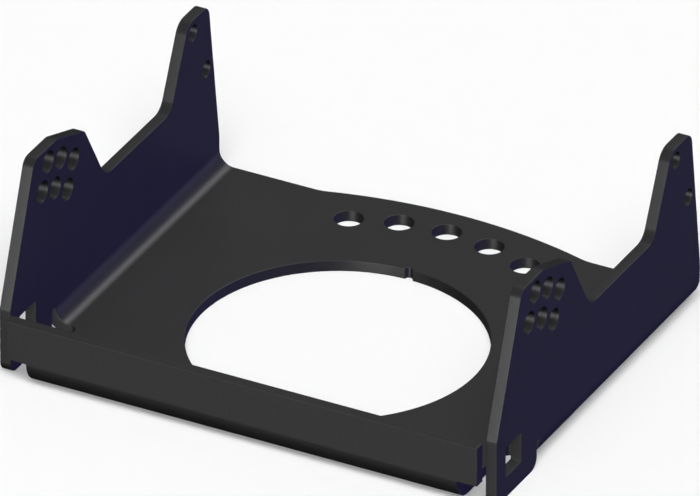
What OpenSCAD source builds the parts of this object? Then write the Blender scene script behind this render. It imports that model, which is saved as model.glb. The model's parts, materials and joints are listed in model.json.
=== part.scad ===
// Folded steel mount that joins a plow push tube to a vehicle's underside.
// One laser-cut plate with three up-turned flanges; front faces -Y, floor rests on Z = 0.

/* [Plate] */
// Thickness of the plate
plate_t = 6.35; // [4:0.05:10]
// Inside radius of the two side bends
side_bend_r = 8.7; // [4:0.05:12]
// Inside radius of the front bend
front_bend_r = 7.5; // [4:0.05:12]

/* [Overall] */
// Width over the two side plates
width = 285.75; // [260:0.25:330]
// Depth of a side plate from its front edge to its rear edge
side_depth = 228.2; // [215:0.1:260]

/* [Front flange] */
// Height of the front flange from the underside
front_h = 36.5; // [30:0.1:42]
// Gap between the front flange's end and the side plate
front_gap = 1.1; // [0.5:0.05:2.5]

/* [Corner relief] */
// Width of floor cut away beside each side plate at the front
relief_w = 12.7; // [11:0.1:16]
// Distance of the relief's back wall from the side plates' front edge
relief_y = 47.9; // [47.5:0.1:56]
// Radius in the relief's inner corner
relief_r = 3.175; // [1:0.05:4.5]
// Width of the slot between the ear and the side bend
slot_w = 3.175; // [1.5:0.1:4]
// Radius of the ear's two lower corners
ear_r = 6.35; // [2:0.05:10]

/* [Front tab] */
// Height of the tab's flat top above the underside
tab_h = 113.15; // [108:0.05:125]
// Height above the underside where the tab's front edge starts to lean back
tab_knee = 37.65; // [35:0.05:44]
// Lean of the tab's front edge from vertical
tab_lean = 19.7; // [15:0.1:21]
// Distance of the top's break point from the side plates' front edge
tab_break_y = 51.1; // [46:0.1:55]
// Fall of the tab's top behind the break
tab_fall = 19.4; // [15:0.1:22]
// Distance of the tab's rear corner from the side plates' front edge
tab_rear_y = 81.45; // [78:0.1:85]
// Slope of the tab's rear edge from vertical
tab_rear_lean = 29.6; // [26:0.1:33]
// Radius of the tab's corners
tab_r = 6.35; // [3:0.05:9]

/* [Saddle] */
// Height of the saddle's edge above the underside
saddle_h = 64.25; // [60:0.05:70]
// Radius where the tab runs into the saddle
saddle_front_r = 12.7; // [6:0.05:16]
// Radius where the saddle runs into the rear upright
saddle_rear_r = 9.525; // [6:0.05:14]

/* [Rear upright] */
// Height of the rear upright above the underside
upright_h = 107.1; // [102:0.05:112]
// Depth of the upright where it leaves the saddle, up to the side plates' rear edge
upright_foot = 53.7; // [45:0.1:62]
// Width of the upright's top, corner to corner
upright_top = 22.7; // [20:0.1:30]
// Lean of the upright's rear edge from vertical
rear_lean = 7.57; // [5:0.1:9]
// Height above the underside where the rear edge starts to lean forward
rear_knee = 23; // [18:0.05:30]
// Radius of the upright's front top corner
upright_front_r = 9.525; // [6:0.05:15]
// Radius of the upright's rear top corner
upright_rear_r = 6.35; // [3:0.05:9]

/* [Side holes] */
// Width of the square hole in each ear
square_w = 17.2; // [15:0.1:18.5]
// Distance of the square hole's middle from the side plates' front edge
square_y = 18.8; // [17:0.1:22]
// Height of the square hole's middle above the underside
square_z = 20.9; // [19:0.1:25]
// Diameter of the six holes in each tab
pin_d = 12; // [9:0.1:12.7]
// Spacing of the two holes of a pair
pin_pitch = 15.875; // [14.5:0.025:17]
// Lean of each pair from vertical
pin_lean = 23.8; // [18:0.1:28]
// Diameter of the two holes in each upright
rear_d = 9.1; // [7:0.1:11]
// Spacing of the two upright holes
rear_pitch = 32.7; // [28:0.1:36]
// Lean of the upright's hole pair from vertical
rear_pair_lean = 26.4; // [20:0.1:30]
// Distance of the upright's hole pair in front of the upright's rear top corner
rear_pair_inset = 10.35; // [8:0.05:13]
// Distance of the upright's hole pair below the upright's top
rear_pair_drop = 22.3; // [20:0.1:26]

/* [Floor] */
// Diameter of the large opening
big_d = 157; // [140:0.1:162]
// Distance of the large opening's centre from the side plates' front edge
big_y = 99.7; // [99:0.1:103]
// Diameter of the half-round notch at the back of the large opening
notch_d = 4.2; // [3:0.1:6]
// Diameter of the five floor holes
floor_d = 15.5; // [12:0.1:18]
// Distance of the middle floor hole from the bulging rear edge
floor_hole_edge = 18.6; // [14:0.1:24]
// Angle between neighbouring floor holes
floor_step = 12.5; // [10:0.1:15]
// How far the rear edge bulges behind the side plates
bulge_rise = 11.4; // [6:0.1:16]
// Radius of the bulging rear edge
bulge_r = 265; // [240:1:300]
// Radius where the bulge runs into the straight rear edge
bulge_fillet_r = 25.4; // [10:0.1:40]

/* [Hidden] */
$fn = 96;
plate_colour = [0.13, 0.13, 0.14];
side_bend_out = side_bend_r + plate_t;
front_bend_out = front_bend_r + plate_t;
bulge_y = side_depth + bulge_rise;
bulge_centre_y = bulge_y - bulge_r;
depth = plate_t + front_gap + bulge_y;
front_y = plate_t + front_gap - depth / 2;
half_in = width / 2 - plate_t;
flat_x = half_in - side_bend_r;
relief_x = half_in - relief_w;
slot_y = relief_y - slot_w;
tab_front_y = (tab_h - tab_knee) * tan(tab_lean);
tab_rear_z = tab_h - (tab_rear_y - tab_break_y) * tan(tab_fall);
saddle_front_y = tab_rear_y + (tab_rear_z - saddle_h) * tan(tab_rear_lean);
riser_y = side_depth - upright_foot;
rear_top_y = side_depth - (upright_h - rear_knee) * tan(rear_lean);
riser_top_y = rear_top_y - upright_top;
floor_arc_r = bulge_y - floor_hole_edge - big_y;
// Middles of the tab's three hole pairs, as distance from the front edge and depth below the top
pair_places = [[38.65, 15.8], [52.55, 20.65], [65.75, 28.4]];
rear_pair_place = [rear_top_y - rear_pair_inset, upright_h - rear_pair_drop];
// How far a bend's two ends reach into the flats that they join
lap = 0.5;

// Corner lists run anticlockwise as [x, y, radius]
function at(p, i) = [p[i][0], p[i][1]];
function after(p, i) = at(p, (i + 1) % len(p));
function before(p, i) = at(p, (i + len(p) - 1) % len(p));
function unit(v) = v / norm(v);
function way_in(p, i) = unit(at(p, i) - before(p, i));
function way_out(p, i) = unit(after(p, i) - at(p, i));
function turn(p, i) = way_in(p, i)[0] * way_out(p, i)[1] - way_in(p, i)[1] * way_out(p, i)[0];
function reach(p, i) = p[i][2] * tan(acos(way_in(p, i) * way_out(p, i)) / 2);
function start_point(p, i) = at(p, i) - reach(p, i) * way_in(p, i);
function end_point(p, i) = at(p, i) + reach(p, i) * way_out(p, i);
function side_of(p, i) = turn(p, i) > 0 ? 1 : -1;
function left_of(v) = [-v[1], v[0]];
function disc_centre(p, i) = start_point(p, i) + side_of(p, i) * p[i][2] * left_of(way_in(p, i));
function points_at(p, i) = p[i][2] > 0 ? [start_point(p, i), end_point(p, i)] : [at(p, i)];
function outline_points(p) = [for (i = [0 : len(p) - 1]) for (q = points_at(p, i)) q];

module corner_disc(p, i) {
    intersection() {
        polygon([disc_centre(p, i), start_point(p, i), at(p, i), end_point(p, i)]);
        translate(disc_centre(p, i)) circle(r = p[i][2]);
    }
}

module rounded_outline(p) {
    difference() {
        polygon(outline_points(p));
        for (i = [0 : len(p) - 1]) if (p[i][2] > 0 && turn(p, i) < 0) corner_disc(p, i);
    }
    for (i = [0 : len(p) - 1]) if (p[i][2] > 0 && turn(p, i) > 0) corner_disc(p, i);
}

module hole_pair(middle, pitch, lean, d) {
    for (s = [-1, 1]) translate(middle + s * pitch / 2 * [sin(lean), cos(lean)]) circle(d = d);
}

module side_outline() {
    difference() {
        rounded_outline([
            [0, 0, ear_r],
            [slot_y, 0, ear_r],
            [slot_y, side_bend_out, 0],
            [side_depth, side_bend_out, 0],
            [side_depth, rear_knee, 0],
            [rear_top_y, upright_h, upright_rear_r],
            [riser_top_y, upright_h, upright_front_r],
            [riser_y, saddle_h, saddle_rear_r],
            [saddle_front_y, saddle_h, saddle_front_r],
            [tab_rear_y, tab_rear_z, tab_r],
            [tab_break_y, tab_h, tab_r],
            [tab_front_y, tab_h, tab_r],
            [0, tab_knee, 0]
        ]);
        translate([square_y - square_w / 2, square_z - square_w / 2]) square(square_w);
        for (c = pair_places) hole_pair([c[0], tab_h - c[1]], pin_pitch, pin_lean, pin_d);
        hole_pair(rear_pair_place, rear_pitch, -rear_pair_lean, rear_d);
    }
}

module side_plate() {
    translate([half_in, front_y, 0]) rotate([90, 0, 90]) linear_extrude(plate_t) side_outline();
}

// Cross-section of a bend: a quarter of a ring that curves up from the floor, with a lap at each end
module bend_section(r) {
    intersection() {
        difference() {
            circle(r = r + plate_t);
            circle(r = r);
        }
        translate([0, -r - plate_t]) square(r + plate_t);
    }
    translate([-lap, -r - plate_t]) square([lap, plate_t]);
    translate([r, 0]) square([plate_t, lap]);
}

module side_bend() {
    translate([flat_x, front_y + side_depth, side_bend_out])
        rotate([90, 0, 0]) linear_extrude(side_depth - relief_y) bend_section(side_bend_r);
}

module front_bend() {
    translate([relief_x, front_y - front_gap + front_bend_r, front_bend_out])
        rotate([90, 0, -90]) linear_extrude(2 * relief_x) bend_section(front_bend_r);
}

module front_flange() {
    translate([-half_in + front_gap, front_y - front_gap - plate_t, front_bend_out])
        cube([2 * (half_in - front_gap), plate_t, front_h - front_bend_out]);
}

// Hollow corner between the bulge's arc and the straight rear edge, bounded by both tangent points
module bulge_blend() {
    fillet_y = side_depth + bulge_fillet_r;
    fillet_x = sqrt(pow(bulge_r + bulge_fillet_r, 2) - pow(fillet_y - bulge_centre_y, 2));
    share = bulge_r / (bulge_r + bulge_fillet_r);
    touch = [fillet_x * share, bulge_centre_y + (fillet_y - bulge_centre_y) * share];
    seat_y = side_depth - plate_t;
    difference() {
        polygon([[touch[0], seat_y], [fillet_x, seat_y], [fillet_x, side_depth], touch]);
        translate([fillet_x, fillet_y]) circle(r = bulge_fillet_r);
    }
}

module bulge() {
    intersection() {
        translate([0, bulge_centre_y]) circle(r = bulge_r);
        translate([-flat_x, side_depth - plate_t]) square([2 * flat_x, 2 * plate_t + bulge_rise]);
    }
    bulge_blend();
    mirror([1, 0]) bulge_blend();
}

module floor_outline() {
    difference() {
        union() {
            rounded_outline([
                [-relief_x, front_bend_r - front_gap, 0],
                [relief_x, front_bend_r - front_gap, 0],
                [relief_x, relief_y, relief_r],
                [flat_x, relief_y, 0],
                [flat_x, side_depth, 0],
                [-flat_x, side_depth, 0],
                [-flat_x, relief_y, 0],
                [-relief_x, relief_y, relief_r]
            ]);
            bulge();
        }
        translate([0, big_y]) circle(d = big_d);
        translate([0, big_y + big_d / 2]) circle(d = notch_d);
        for (i = [-2 : 2])
            translate([0, big_y] + floor_arc_r * [sin(i * floor_step), cos(i * floor_step)])
                circle(d = floor_d);
    }
}

module mount_plate() {
    color(plate_colour) union() {
        translate([0, front_y, 0]) linear_extrude(plate_t) floor_outline();
        for (m = [0, 1]) mirror([m, 0, 0]) {
            side_plate();
            side_bend();
        }
        front_bend();
        front_flange();
    }
}

mount_plate();
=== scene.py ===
"""Looks of the push tube mount: its powder coat, broken edges, studio light, floor and camera."""

import json
import math

import bmesh
import bpy
from bpy.props import FloatProperty, FloatVectorProperty, IntProperty, PointerProperty
from bpy.types import Operator, Panel, PropertyGroup
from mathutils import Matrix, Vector
from mathutils.bvhtree import BVHTree


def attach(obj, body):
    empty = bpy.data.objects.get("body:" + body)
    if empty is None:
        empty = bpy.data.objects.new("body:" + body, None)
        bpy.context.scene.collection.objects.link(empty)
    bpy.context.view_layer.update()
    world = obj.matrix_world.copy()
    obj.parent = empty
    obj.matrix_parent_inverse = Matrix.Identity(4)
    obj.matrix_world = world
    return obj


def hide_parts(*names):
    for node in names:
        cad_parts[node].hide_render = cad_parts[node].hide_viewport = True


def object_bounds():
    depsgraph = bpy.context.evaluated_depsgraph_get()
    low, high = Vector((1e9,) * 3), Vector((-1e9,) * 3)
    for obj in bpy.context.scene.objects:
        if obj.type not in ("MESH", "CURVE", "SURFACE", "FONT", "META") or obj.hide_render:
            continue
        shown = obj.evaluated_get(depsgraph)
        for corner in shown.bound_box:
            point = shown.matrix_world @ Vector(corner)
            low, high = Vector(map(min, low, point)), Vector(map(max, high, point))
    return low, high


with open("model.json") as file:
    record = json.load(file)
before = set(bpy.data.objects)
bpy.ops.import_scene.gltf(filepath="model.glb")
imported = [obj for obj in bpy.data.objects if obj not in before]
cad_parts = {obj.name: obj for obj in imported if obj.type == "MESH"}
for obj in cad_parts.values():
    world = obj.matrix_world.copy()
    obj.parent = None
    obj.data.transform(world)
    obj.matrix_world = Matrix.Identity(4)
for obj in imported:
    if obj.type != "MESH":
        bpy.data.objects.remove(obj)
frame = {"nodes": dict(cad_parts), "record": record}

bl_info = {
    "name": "Plow push tube mount",
    "version": (1, 0, 0),
    "blender": (4, 5, 0),
    "location": "View3D > Sidebar > Mount",
    "description": "Dresses a folded, powder coated steel mount and lights it in a pale studio",
    "category": "Object",
}

PLATE_NODE = "mount_plate"
PLATE_PIECE = "coated_plate"
VIOLET = (0.21, 0.16, 1)
LILAC = (0.68, 0.63, 1)
CAD_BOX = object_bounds()

# Reading the CAD mesh, in metres, radians and shares of the plate's thickness
WELD_DISTANCE = 2e-6
FLAT_ANGLE = math.radians(0.3)
RAY_START = 1e-5
THICKNESS_SLACK = 0.04

# How strongly the large faces set the shading of their edges
LARGE_FACE_WEIGHT = 100

# Share of the depth that the cutting lines are stretched over
CUT_LINE_STRETCH = 0.95

# Height of the fine grain as a share of the orange peel's
GRAIN_SHARE = 0.25

# How far the coat's roughness wanders to either side
SATIN_SPAN = 0.06

# Distance from the part to the floor's edges
FLOOR_REACH = 30.0


def stated_size(mount_name, key):
    """A size in metres that the record gives for one of the part's mounts."""
    for mount in frame["record"]["mounts"]:
        if mount["name"] == mount_name:
            return mount["dims"][key] / 1000
    raise KeyError(mount_name)


class PlateSettings(PropertyGroup):
    """Sizes of the plate's finish"""

    thickness: FloatProperty(
        name="Plate thickness",
        description="Thickness of the steel, which tells a skin from a cut edge",
        default=stated_size("floor_centre_hole", "length_mm"),
        unit="LENGTH",
    )
    edge_round: FloatProperty(
        name="Broken edge",
        description="Width of the rounding that deburring and the coat leave on every cut edge",
        default=0.0004,
        unit="LENGTH",
    )
    edge_steps: IntProperty(
        name="Steps in an edge",
        description="Number of faces across the rounding of an edge",
        default=3,
        min=1,
    )
    sharp_angle: FloatProperty(
        name="Sharp angle",
        description="Faces that meet at more than this angle get a broken edge",
        default=math.radians(12),
        subtype="ANGLE",
    )


class CoatSettings(PropertyGroup):
    """Colour and texture of the powder coat"""

    colour: FloatVectorProperty(
        name="Coat colour",
        description="Colour of the coat on the flat of the plate",
        default=(0.017, 0.017, 0.0182),
        subtype="COLOR",
        size=3,
    )
    mottle: FloatProperty(
        name="Mottle",
        description="How much the coat's colour wanders from lot to lot of powder",
        default=0.10,
        subtype="FACTOR",
    )
    mottle_size: FloatProperty(
        name="Mottle size",
        description="Width of one patch of that wander",
        default=0.045,
        unit="LENGTH",
    )
    peel_size: FloatProperty(
        name="Peel size",
        description="Width of one dimple of the coat's orange peel",
        default=0.0016,
        unit="LENGTH",
    )
    peel_depth: FloatProperty(
        name="Peel depth",
        description="Depth of the orange peel",
        default=0.00004,
        unit="LENGTH",
    )
    grain_size: FloatProperty(
        name="Grain size",
        description="Width of one grain of the fine powder texture",
        default=0.00045,
        unit="LENGTH",
    )
    roughness: FloatProperty(
        name="Roughness",
        description="Roughness of the satin coat",
        default=0.37,
        subtype="FACTOR",
    )
    sheen: FloatProperty(
        name="Sheen",
        description="Share of the light that the coat's surface mirrors",
        default=0.02,
        subtype="FACTOR",
    )
    sheen_index: FloatProperty(
        name="Sheen index",
        description="Refractive index of that surface; a high one keeps grazing reflections low",
        default=2.5,
    )
    stria_pitch: FloatProperty(
        name="Cut line pitch",
        description="Spacing of the cutting lines that still show through the coat on a cut edge",
        default=0.0009,
        unit="LENGTH",
    )
    stria_depth: FloatProperty(
        name="Cut line depth",
        description="Depth of those cutting lines",
        default=0.00005,
        unit="LENGTH",
    )


class StudioSettings(PropertyGroup):
    """Camera, lamps and floor"""

    azimuth: FloatProperty(
        name="Camera azimuth",
        description="How far the camera stands round to the right of straight ahead",
        default=math.radians(27.61),
        subtype="ANGLE",
    )
    elevation: FloatProperty(
        name="Camera elevation",
        description="How far the camera looks down",
        default=math.radians(30.775),
        subtype="ANGLE",
    )
    aim: FloatVectorProperty(
        name="Camera aim",
        description="Point in the middle of the picture",
        default=(-0.00158, 0.0, 0.0516),
        subtype="TRANSLATION",
        size=3,
    )
    frame_width: FloatProperty(
        name="Frame width",
        description="Width that the picture takes in at the aim",
        default=0.3582,
        unit="LENGTH",
    )
    lens: FloatProperty(
        name="Lens",
        description="Focal length in millimetres, long enough for a nearly parallel view",
        default=1100,
    )
    floor_colour: FloatVectorProperty(
        name="Floor colour",
        description="Colour of the studio floor",
        default=(0.85, 0.85, 0.85),
        subtype="COLOR",
        size=3,
    )
    floor_gap: FloatProperty(
        name="Floor gap",
        description="Hair's breadth from part to floor, so that the two faces don't flicker",
        default=0.00005,
        unit="LENGTH",
    )
    floor_bounce: FloatProperty(
        name="Floor bounce",
        description="Share of the light that the floor throws back at the part",
        default=0.05,
        subtype="FACTOR",
    )
    ambient: FloatProperty(
        name="Ambient level",
        description="Strength of the studio's even light",
        default=0.12,
    )
    key_level: FloatProperty(
        name="Key level",
        description="Strength of the main lamp, high in front, which casts the shadow",
        default=1.6,
    )
    fill_level: FloatProperty(
        name="Fill level",
        description="Strength of the lamp beside the key, which lightens its shadow",
        default=1.8,
    )
    top_level: FloatProperty(
        name="Top level",
        description="Strength of the weaker lamp above",
        default=0.5,
    )
    side_level: FloatProperty(
        name="Side level",
        description="Strength of the violet lamp at the right",
        default=4.05,
    )
    rear_level: FloatProperty(
        name="Rear level",
        description="Strength of the lamp behind at the left, which lightens the far faces",
        default=6.0,
    )
    edge_gleam: FloatProperty(
        name="Edge gleam",
        description="Strength of the gleam on the front face and the leaning front edges",
        default=23.5,
    )
    bend_gleam: FloatProperty(
        name="Bend gleam",
        description="Strength of the broad gleam low in the left bend",
        default=12.0,
    )
    violet_gleam: FloatProperty(
        name="Violet gleam",
        description="Strength of the narrow violet gleam high in the left bend",
        default=1.7,
    )


def plate_mesh_from_cad():
    """A welded copy of the CAD plate with one face for each flat stretch."""
    plate = bmesh.new()
    plate.from_mesh(frame["nodes"][PLATE_NODE].data)
    bmesh.ops.remove_doubles(plate, verts=plate.verts, dist=WELD_DISTANCE)
    bmesh.ops.dissolve_limit(plate, angle_limit=FLAT_ANGLE, verts=plate.verts, edges=plate.edges)
    return plate


def skin_faces(plate, thickness):
    """The faces with exactly one thickness of steel behind them, which the cutter never touched."""
    tree = BVHTree.FromBMesh(plate)
    slack = THICKNESS_SLACK * thickness
    skins = set()
    for face in plate.faces:
        start = face.calc_center_median() - face.normal * RAY_START
        distance = tree.ray_cast(start, -face.normal)[3]
        if distance is not None and abs(distance + RAY_START - thickness) < slack:
            skins.add(face)
    return skins


def mark_cut_edges(plate, settings):
    """Stores which faces the cutter made, and at each point the direction through the plate."""
    skins = skin_faces(plate, settings.thickness)
    cut = plate.faces.layers.float.new("cut_edge")
    across = plate.verts.layers.float_vector.new("across")
    heart = sum(CAD_BOX, Vector()) / 2
    for face in plate.faces:
        face[cut] = 0.0 if face in skins else 1.0
        face.smooth = True
    for vert in plate.verts:
        total = Vector()
        for face in vert.link_faces:
            if face in skins:
                inward = 1 if face.normal.dot(heart - vert.co) > 0 else -1
                total += face.normal * inward
        vert[across] = total.normalized() if total.length > 0 else Vector((0, 0, 1))


def broken_edges(piece, settings):
    """Rounds every cut edge a little and keeps the flats flat in the shading."""
    bevel = piece.modifiers.new("broken edges", "BEVEL")
    bevel.width = settings.edge_round
    bevel.segments = settings.edge_steps
    bevel.limit_method = "ANGLE"
    bevel.angle_limit = settings.sharp_angle
    bevel.use_clamp_overlap = False
    bevel.miter_outer = "MITER_ARC"
    normals = piece.modifiers.new("flat flats", "WEIGHTED_NORMAL")
    normals.keep_sharp = True
    normals.weight = LARGE_FACE_WEIGHT


class NodeSheet:
    """A short way to add and join a material's nodes."""

    def __init__(self, tree):
        self.tree = tree
        tree.nodes.clear()

    def add(self, kind, label, **inputs):
        node = self.tree.nodes.new(kind)
        node.label = label
        for name, value in inputs.items():
            self.put(value, node.inputs[name.replace("_", " ")])
        return node

    def put(self, value, socket):
        if isinstance(value, bpy.types.NodeSocket):
            self.tree.links.new(value, socket)
        else:
            socket.default_value = value

    def math(self, operation, label, first, second):
        node = self.tree.nodes.new("ShaderNodeMath")
        node.operation, node.label = operation, label
        self.put(first, node.inputs[0])
        self.put(second, node.inputs[1])
        return node.outputs[0]

    def vector(self, operation, label, first, second=None, scale=None):
        node = self.tree.nodes.new("ShaderNodeVectorMath")
        node.operation, node.label = operation, label
        self.put(first, node.inputs[0])
        if second is not None:
            self.put(second, node.inputs[1])
        if scale is not None:
            self.put(scale, node.inputs["Scale"])
        return node.outputs["Value"] if operation == "DOT_PRODUCT" else node.outputs["Vector"]

    def noise(self, label, place, size, detail):
        node = self.add("ShaderNodeTexNoise", label, Vector=place, Scale=1 / size, Detail=detail)
        return node.outputs["Fac"]


def coat_material(settings):
    """Satin black powder coat: mottle, orange peel, grain, and cutting lines on cut edges."""
    material = bpy.data.materials.new("satin black powder coat")
    material.use_nodes = True
    sheet = NodeSheet(material.node_tree)
    place = sheet.add("ShaderNodeTexCoord", "place on the plate").outputs["Object"]
    cut = sheet.add("ShaderNodeAttribute", "cut edge")
    cut.attribute_name = "cut_edge"
    across = sheet.add("ShaderNodeAttribute", "through the plate")
    across.attribute_name = "across"

    mottle = sheet.noise("mottle", place, settings.mottle_size, detail=3)
    low = [c * (1 - settings.mottle) for c in settings.colour]
    high = [c * (1 + settings.mottle) for c in settings.colour]
    colour = sheet.add("ShaderNodeMix", "mottled colour")
    colour.data_type = "RGBA"
    sheet.put(mottle, colour.inputs["Factor"])
    colour.inputs["A"].default_value = (*low, 1)
    colour.inputs["B"].default_value = (*high, 1)

    through = across.outputs["Vector"]
    depth_in = sheet.vector("DOT_PRODUCT", "depth in the plate", place, through)
    share = sheet.math("MULTIPLY", "share", depth_in, CUT_LINE_STRETCH)
    most_of_it = sheet.vector("SCALE", "most of the depth", through, scale=share)
    flattened = sheet.vector("SUBTRACT", "place along the cut", place, most_of_it)
    stria = sheet.noise("cutting lines", flattened, settings.stria_pitch, detail=2)
    peel = sheet.noise("orange peel", place, settings.peel_size, detail=1)
    grain = sheet.noise("fine grain", place, settings.grain_size, detail=2)

    peel_height = sheet.math("MULTIPLY", "peel height", peel, settings.peel_depth)
    grain_height = sheet.math("MULTIPLY", "grain height", grain, settings.peel_depth * GRAIN_SHARE)
    stria_height = sheet.math("MULTIPLY", "cut line height", stria, settings.stria_depth)
    on_cuts = sheet.math("MULTIPLY", "on cut edges", stria_height, cut.outputs["Fac"])
    texture = sheet.math("ADD", "coat texture", peel_height, grain_height)
    height = sheet.math("ADD", "coat height", texture, on_cuts)
    bump = sheet.add("ShaderNodeBump", "coat relief", Strength=1.0, Distance=1.0, Height=height)

    rough = sheet.add(
        "ShaderNodeMapRange",
        "satin",
        Value=grain,
        To_Min=settings.roughness - SATIN_SPAN,
        To_Max=settings.roughness + SATIN_SPAN,
    )
    shader = sheet.add(
        "ShaderNodeBsdfPrincipled",
        "powder coat",
        Base_Color=colour.outputs["Result"],
        Roughness=rough.outputs["Result"],
        Normal=bump.outputs["Normal"],
        Coat_Normal=bump.outputs["Normal"],
    )
    shader.inputs["Specular IOR Level"].default_value = 0.0
    shader.inputs["Coat Weight"].default_value = settings.sheen
    shader.inputs["Coat IOR"].default_value = settings.sheen_index
    shader.inputs["Coat Roughness"].default_value = settings.roughness
    sheet.add("ShaderNodeOutputMaterial", "surface", Surface=shader.outputs["BSDF"])
    return material


class MOUNT_OT_dress_plate(Operator):
    """Make the folded plate's coated surface from the CAD plate"""

    bl_idname = "mount.dress_plate"
    bl_label = "Dress the plate"

    def execute(self, context):
        scene = context.scene
        plate = plate_mesh_from_cad()
        mark_cut_edges(plate, scene.mount_plate)
        mesh = bpy.data.meshes.new(PLATE_PIECE)
        plate.to_mesh(mesh)
        plate.free()
        mesh.materials.append(coat_material(scene.mount_coat))
        piece = bpy.data.objects.new(PLATE_PIECE, mesh)
        scene.collection.objects.link(piece)
        broken_edges(piece, scene.mount_plate)
        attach(piece, "root")
        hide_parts(PLATE_NODE)
        return {"FINISHED"}


def add_camera(scene, settings):
    """The camera at the photograph's angle, far off with a long lens."""
    data = bpy.data.cameras.new("camera")
    data.lens = settings.lens
    distance = settings.frame_width * settings.lens / data.sensor_width
    back = Vector(
        (
            math.sin(settings.azimuth) * math.cos(settings.elevation),
            -math.cos(settings.azimuth) * math.cos(settings.elevation),
            math.sin(settings.elevation),
        )
    )
    data.clip_end = distance * 3
    camera = bpy.data.objects.new("camera", data)
    camera.location = Vector(settings.aim) + back * distance
    camera.rotation_mode = "QUATERNION"
    camera.rotation_quaternion = (-back).to_track_quat("-Z", "Y")
    scene.collection.objects.link(camera)
    scene.camera = camera


def add_lamp(
    scene,
    name,
    towards,
    level,
    colour=(1, 1, 1),
    spread=20,
    shadows=False,
    diffuse=True,
    gloss=False,
):
    """A distant lamp that stands in the direction towards, spread over that many degrees."""
    data = bpy.data.lights.new(name, "SUN")
    data.energy = level
    data.color = colour
    data.angle = math.radians(spread)
    data.use_shadow = shadows
    lamp = bpy.data.objects.new(name, data)
    lamp.rotation_mode = "QUATERNION"
    lamp.rotation_quaternion = (-Vector(towards)).to_track_quat("-Z", "Y")
    lamp.visible_diffuse = diffuse
    lamp.visible_glossy = gloss
    scene.collection.objects.link(lamp)


def add_gleam(scene, name, towards, level, colour=(1, 1, 1), spread=20):
    """A lamp that shows only as a gleam in the coat."""
    add_lamp(scene, name, towards, level, colour, spread, diffuse=False, gloss=True)


def seen_directly(sheet):
    """1 where the camera, a reflection or a clear piece looks, and 0 for light on its way."""
    path = sheet.add("ShaderNodeLightPath", "kind of ray").outputs
    kinds = ("Is Camera Ray", "Is Glossy Ray", "Is Transmission Ray")
    camera, mirror, clear = (path[kind] for kind in kinds)
    mirrored = sheet.math("MAXIMUM", "seen or mirrored", camera, mirror)
    return sheet.math("MAXIMUM", "seen in any way", mirrored, clear)


def add_floor(scene, settings):
    """A wide pale floor under the part, clear from below so that the underside can be seen."""
    mesh = bpy.data.meshes.new("studio_floor")
    signs = [(-1, -1), (1, -1), (1, 1), (-1, 1)]
    corners = [(x * FLOOR_REACH, y * FLOOR_REACH, -settings.floor_gap) for x, y in signs]
    mesh.from_pydata(corners, [], [(0, 1, 2, 3)])
    material = bpy.data.materials.new("pale studio floor")
    material.use_nodes = True
    sheet = NodeSheet(material.node_tree)
    colour = sheet.add("ShaderNodeMix", "seen or bounced")
    colour.data_type = "RGBA"
    sheet.put(seen_directly(sheet), colour.inputs["Factor"])
    colour.inputs["A"].default_value = (*[settings.floor_bounce] * 3, 1)
    colour.inputs["B"].default_value = (*settings.floor_colour, 1)
    pale = sheet.add("ShaderNodeBsdfDiffuse", "pale floor", Color=colour.outputs["Result"])
    clear = sheet.add("ShaderNodeBsdfTransparent", "clear from below")
    side = sheet.add("ShaderNodeNewGeometry", "side of the floor").outputs["Backfacing"]
    shader = sheet.add("ShaderNodeMixShader", "one-sided floor", Fac=side)
    sheet.put(pale.outputs["BSDF"], shader.inputs[1])
    sheet.put(clear.outputs["BSDF"], shader.inputs[2])
    sheet.add("ShaderNodeOutputMaterial", "surface", Surface=shader.outputs["Shader"])
    mesh.materials.append(material)
    floor = bpy.data.objects.new("studio_floor", mesh)
    scene.collection.objects.link(floor)


def add_surroundings(scene, settings):
    """Even light all round, which the camera sees as white."""
    world = bpy.data.worlds.new("studio")
    world.use_nodes = True
    sheet = NodeSheet(world.node_tree)
    seen = seen_directly(sheet)
    dim = settings.ambient
    level = sheet.add("ShaderNodeMapRange", "level", Value=seen, To_Min=dim, To_Max=1.0)
    light = sheet.add("ShaderNodeBackground", "studio light", Strength=level.outputs["Result"])
    light.inputs["Color"].default_value = (1, 1, 1, 1)
    sheet.add("ShaderNodeOutputWorld", "surroundings", Surface=light.outputs["Background"])
    scene.world = world


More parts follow.
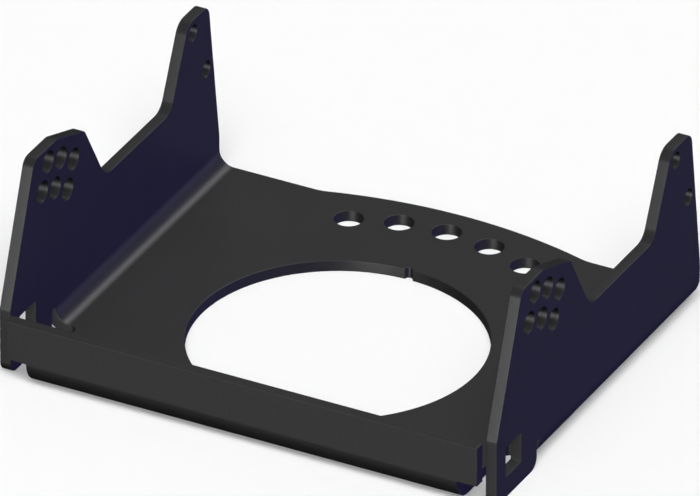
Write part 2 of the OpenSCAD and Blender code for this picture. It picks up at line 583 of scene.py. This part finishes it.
class MOUNT_OT_set_stage(Operator):
    """Set the camera, lamps, floor and surroundings"""

    bl_idname = "mount.set_stage"
    bl_label = "Set the stage"

    def execute(self, context):
        scene = context.scene
        settings = scene.mount_studio
        add_camera(scene, settings)
        add_floor(scene, settings)
        add_surroundings(scene, settings)
        front = (0.28, -0.5, 0.82)
        add_lamp(scene, "key lamp", front, settings.key_level, spread=36, shadows=True, gloss=True)
        add_lamp(scene, "fill lamp", front, settings.fill_level, spread=36, gloss=True)
        add_lamp(scene, "top lamp", (0.1, -0.5, 1), settings.top_level, spread=40, shadows=True)
        add_lamp(scene, "side lamp", (0.94, 0.33, -0.1), settings.side_level, VIOLET, spread=10)
        add_lamp(scene, "rear lamp", (-0.72, 0.62, -0.3), settings.rear_level)
        add_gleam(scene, "edge gleam", (-0.03, -0.99, -0.08), settings.edge_gleam, spread=48)
        add_gleam(scene, "bend gleam", (0.03, 0.59, 0.8), settings.bend_gleam, spread=34)
        behind = (0.63, 0.76, -0.14)
        add_gleam(scene, "violet gleam", behind, settings.violet_gleam, LILAC, spread=24)
        scene.view_settings.view_transform = "Standard"
        return {"FINISHED"}


class MOUNT_PT_sidebar(Panel):
    """Lists the mount's operators and settings"""

    bl_idname = "MOUNT_PT_sidebar"
    bl_label = "Push tube mount"
    bl_space_type = "VIEW_3D"
    bl_region_type = "UI"
    bl_category = "Mount"

    def draw(self, context):
        layout = self.layout
        scene = context.scene
        layout.operator(MOUNT_OT_dress_plate.bl_idname)
        layout.operator(MOUNT_OT_set_stage.bl_idname)
        for settings in (scene.mount_plate, scene.mount_coat, scene.mount_studio):
            box = layout.box()
            for name in settings.__annotations__:
                box.prop(settings, name)


CLASSES = (
    PlateSettings,
    CoatSettings,
    StudioSettings,
    MOUNT_OT_dress_plate,
    MOUNT_OT_set_stage,
    MOUNT_PT_sidebar,
)


def register():
    for cls in CLASSES:
        bpy.utils.register_class(cls)
    bpy.types.Scene.mount_plate = PointerProperty(type=PlateSettings)
    bpy.types.Scene.mount_coat = PointerProperty(type=CoatSettings)
    bpy.types.Scene.mount_studio = PointerProperty(type=StudioSettings)


def unregister():
    del bpy.types.Scene.mount_studio
    del bpy.types.Scene.mount_coat
    del bpy.types.Scene.mount_plate
    for cls in reversed(CLASSES):
        bpy.utils.unregister_class(cls)


def main():
    register()
    bpy.ops.mount.dress_plate()
    bpy.ops.mount.set_stage()


if __name__ == "__main__":
    main()
